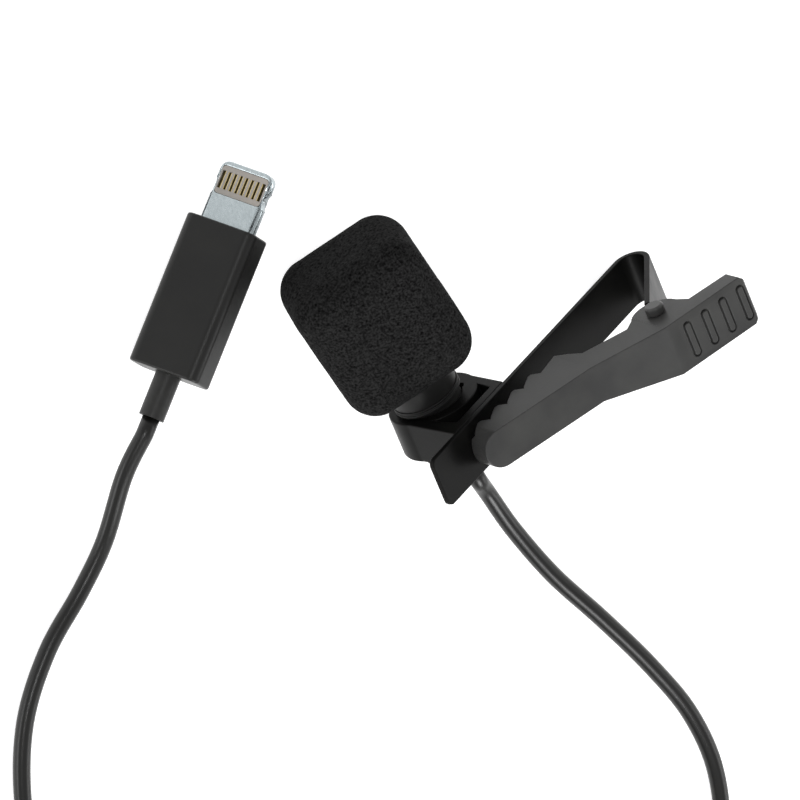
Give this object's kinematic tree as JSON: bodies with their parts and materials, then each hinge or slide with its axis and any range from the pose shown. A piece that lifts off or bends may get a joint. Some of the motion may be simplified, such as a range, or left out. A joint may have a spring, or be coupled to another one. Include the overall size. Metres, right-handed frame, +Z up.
{
  "type": "lavalier microphone",
  "caption": "Lapel microphone: a foam-covered capsule turning in the ring of a sprung toothed clip, with a thin cable to a flat metal-tongued plug.",
  "frame": {"origin": "on the table under the middle of the clip and microphone", "axes": "+Z up from the table, +X from the thumb pad to the jaw's front, +Y towards the microphone's cable"},
  "size_m": [0.1012, 0.1123, 0.0213],
  "materials": {
    "black_steel": "satin black",
    "lever_grey": "satin dark grey",
    "pin_steel": "satin grey",
    "spring_steel": "drawn wire",
    "foam": "open-cell foam",
    "anodised_black": "black anodised",
    "bright_steel": "brushed",
    "felt": "felt",
    "gasket_rubber": "matte",
    "board": "solder mask",
    "cable_jacket": "matte gloss",
    "tie_tape": "woven tape",
    "contact_plastic": "moulded",
    "contact_gold": "gold plated",
    "chip_black": "moulded",
    "housing_black": "satin"
  },
  "bodies": {
    "clip": {"clip_strap": "black_steel", "ring_bracket": "black_steel", "hinge_pin": "pin_steel", "torsion_spring": "spring_steel", "cable_mic_side": "cable_jacket", "cable_coil": "cable_jacket", "cable_plug_side": "cable_jacket", "cable_tie": "tie_tape", "plug_tongue": "bright_steel", "contact_insert": "contact_plastic", "contacts_front": "contact_gold", "contacts_back": "contact_gold", "plug_board": "board", "converter_chip": "chip_black", "plug_inner_mould": "chip_black", "plug_housing": "housing_black", "plug_sleeve": "cable_jacket", "cable_ferrule": "bright_steel"},
    "lever": {"clip_lever": "lever_grey", "spring_arm": "spring_steel"},
    "microphone": {"mic_barrel": "anodised_black", "front_grille": "bright_steel", "acoustic_felt": "felt", "electret_cell": "bright_steel", "cell_gasket": "gasket_rubber", "mic_board": "board", "mic_collar": "anodised_black", "rear_cap": "anodised_black", "mic_strain_relief": "cable_jacket"},
    "windscreen": {"foam_windscreen": "foam"}
  },
  "joints": [
    {"name": "lever_hinge", "type": "hinge", "parent": "clip", "child": "lever", "pos_m": [-0.01226, 0.0107, 0.0166], "axis": [0, -0.9816, 0.1908], "range_deg": [0, 28], "stiffness_Nm_per_rad": 0.06, "springref_deg": -34.38},
    {"name": "mic_swivel", "type": "hinge", "parent": "clip", "child": "microphone", "pos_m": [0.01187, 0.00807, 0.00569], "axis": [-0.1378, 0.9684, -0.208], "range_deg": [-90, 90]},
    {"name": "windscreen_slide", "type": "slide", "parent": "microphone", "child": "windscreen", "axis": [0.1378, -0.9684, 0.208], "range_m": [0, 0.006]}
  ]
}
